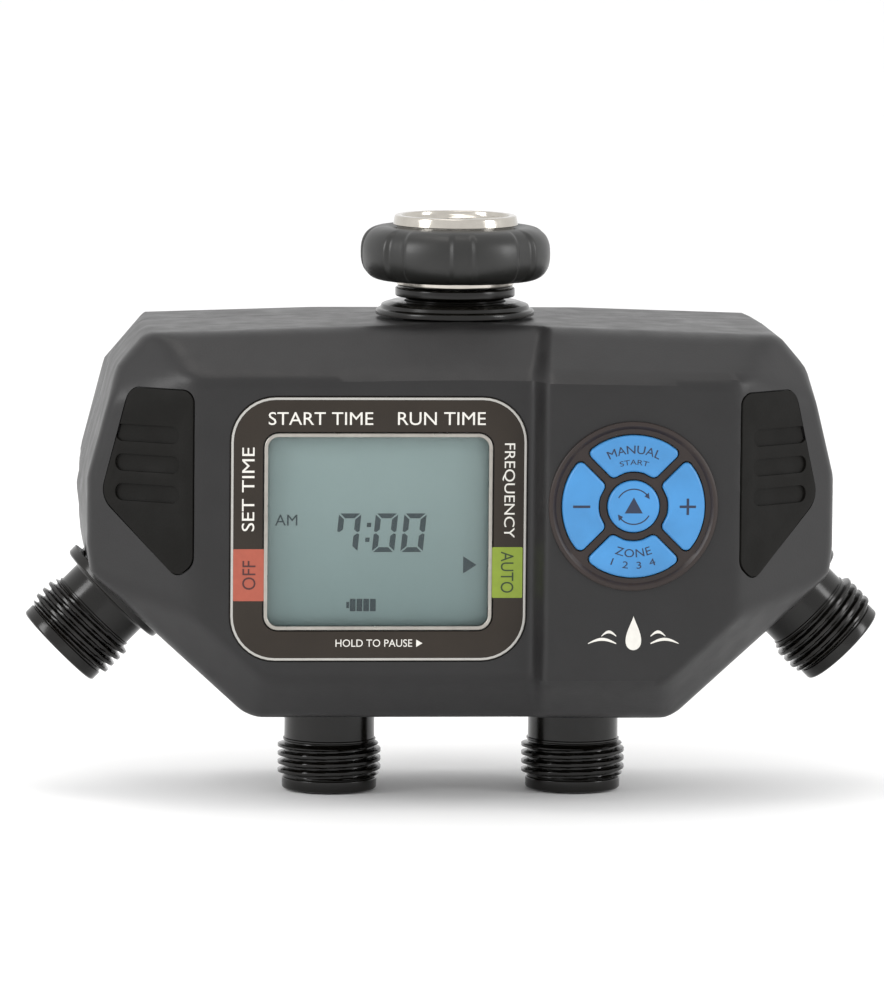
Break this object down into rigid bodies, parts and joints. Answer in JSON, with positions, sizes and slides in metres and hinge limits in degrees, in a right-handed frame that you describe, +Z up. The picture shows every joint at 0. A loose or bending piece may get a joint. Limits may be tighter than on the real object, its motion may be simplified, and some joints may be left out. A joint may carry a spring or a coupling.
{
  "type": "irrigation controller",
  "caption": "Battery hose-tap watering timer: bevelled charcoal housing with display and round blue keypad, swivel inlet on top, threaded hose outlets on the lower edges.",
  "frame": {"origin": "inlet axis at the top rim of the metal swivel ring", "axes": "+X to the right seen from the front, the display faces -Y, +Z up along the inlet axis"},
  "size_m": [0.2214, 0.0935, 0.1495],
  "materials": {
    "housing": "fine textured satin charcoal plastic",
    "black_plastic": "semi-gloss black plastic",
    "grip_rubber": "finely textured soft rubber",
    "seal_rubber": "smooth black rubber",
    "label": "printed dark brown film",
    "silver": "satin silver",
    "window": "clear moulded window",
    "lcd": "grey-green liquid crystal panel",
    "board": "green solder mask",
    "silicone": "grey silicone",
    "key_blue": "satin bright blue",
    "nickel": "bright nickel plate",
    "steel": "plain steel",
    "white_plastic": "natural white moulded plastic",
    "copper": "enamelled copper winding on a bobbin",
    "cell": "printed steel jacket"
  },
  "bodies": {
    "controller": {"front_housing": "housing", "rear_housing": "housing", "keypad_bezel": "black_plastic", "inlet_stem": "black_plastic", "inlet_flange": "black_plastic", "battery_tray": "black_plastic", "left_side_outlet": "black_plastic", "left_bottom_outlet": "black_plastic", "right_bottom_outlet": "black_plastic", "right_side_outlet": "black_plastic", "left_grip_pad": "grip_rubber", "right_grip_pad": "grip_rubber", "housing_gasket": "seal_rubber", "inlet_washer": "seal_rubber", "door_seal": "seal_rubber", "wiring_loom": "seal_rubber", "left_side_diaphragm": "seal_rubber", "left_bottom_diaphragm": "seal_rubber", "right_bottom_diaphragm": "seal_rubber", "right_side_diaphragm": "seal_rubber", "display_label": "label", "window_frame": "silver", "display_window": "window", "lcd_panel": "lcd", "circuit_board": "board", "keypad_mat": "silicone", "inlet_filter": "steel", "left_contact": "steel", "right_contact": "steel", "left_side_spring": "steel", "left_bottom_spring": "steel", "right_bottom_spring": "steel", "right_side_spring": "steel", "top_left_screw": "steel", "top_right_screw": "steel", "bottom_left_screw": "steel", "bottom_right_screw": "steel", "manifold": "white_plastic", "left_side_bonnet": "white_plastic", "left_bottom_bonnet": "white_plastic", "right_bottom_bonnet": "white_plastic", "right_side_bonnet": "white_plastic", "left_side_coil": "copper", "left_bottom_coil": "copper", "right_bottom_coil": "copper", "right_side_coil": "copper", "upper_cell": "cell", "lower_cell": "cell"},
    "swivel": {"swivel_insert": "nickel", "swivel_collar": "black_plastic"},
    "door": {"battery_door": "housing"},
    "manual_key": {"manual_button": "key_blue"},
    "minus_key": {"minus_button": "key_blue"},
    "plus_key": {"plus_button": "key_blue"},
    "zone_key": {"zone_button": "key_blue"},
    "cycle_key": {"cycle_button": "key_blue"},
    "left_side_armature": {"left_side_plunger": "steel"},
    "left_bottom_armature": {"left_bottom_plunger": "steel"},
    "right_bottom_armature": {"right_bottom_plunger": "steel"},
    "right_side_armature": {"right_side_plunger": "steel"}
  },
  "joints": [
    {"name": "swivel_spin", "type": "hinge", "parent": "controller", "child": "swivel", "pos_m": [0, 0, 0], "axis": [0, 0, 1], "continuous": true},
    {"name": "manual_press", "type": "slide", "parent": "controller", "child": "manual_key", "axis": [0, 1, 0], "range_m": [0, 0.001], "stiffness_N_per_m": 1200, "springref_m": -0.0005},
    {"name": "minus_press", "type": "slide", "parent": "controller", "child": "minus_key", "axis": [0, 1, 0], "range_m": [0, 0.001], "stiffness_N_per_m": 1200, "springref_m": -0.0005},
    {"name": "plus_press", "type": "slide", "parent": "controller", "child": "plus_key", "axis": [0, 1, 0], "range_m": [0, 0.001], "stiffness_N_per_m": 1200, "springref_m": -0.0005},
    {"name": "zone_press", "type": "slide", "parent": "controller", "child": "zone_key", "axis": [0, 1, 0], "range_m": [0, 0.001], "stiffness_N_per_m": 1200, "springref_m": -0.0005},
    {"name": "cycle_press", "type": "slide", "parent": "controller", "child": "cycle_key", "axis": [0, 1, 0], "range_m": [0, 0.001], "stiffness_N_per_m": 1200, "springref_m": -0.0005},
    {"name": "left_side_lift", "type": "slide", "parent": "controller", "child": "left_side_armature", "axis": [0, 1, 0], "range_m": [0, 0.002], "stiffness_N_per_m": 400, "springref_m": -0.002, "deforming": ["left_side_spring"]},
    {"name": "left_bottom_lift", "type": "slide", "parent": "controller", "child": "left_bottom_armature", "axis": [0, 1, 0], "range_m": [0, 0.002], "stiffness_N_per_m": 400, "springref_m": -0.002, "deforming": ["left_bottom_spring"]},
    {"name": "right_bottom_lift", "type": "slide", "parent": "controller", "child": "right_bottom_armature", "axis": [0, 1, 0], "range_m": [0, 0.002], "stiffness_N_per_m": 400, "springref_m": -0.002, "deforming": ["right_bottom_spring"]},
    {"name": "right_side_lift", "type": "slide", "parent": "controller", "child": "right_side_armature", "axis": [0, 1, 0], "range_m": [0, 0.002], "stiffness_N_per_m": 400, "springref_m": -0.002, "deforming": ["right_side_spring"]},
    {"name": "door_swing", "type": "hinge", "parent": "controller", "child": "door", "pos_m": [0, 0.0404, -0.034], "axis": [1, 0, 0], "range_deg": [0, 110]}
  ]
}
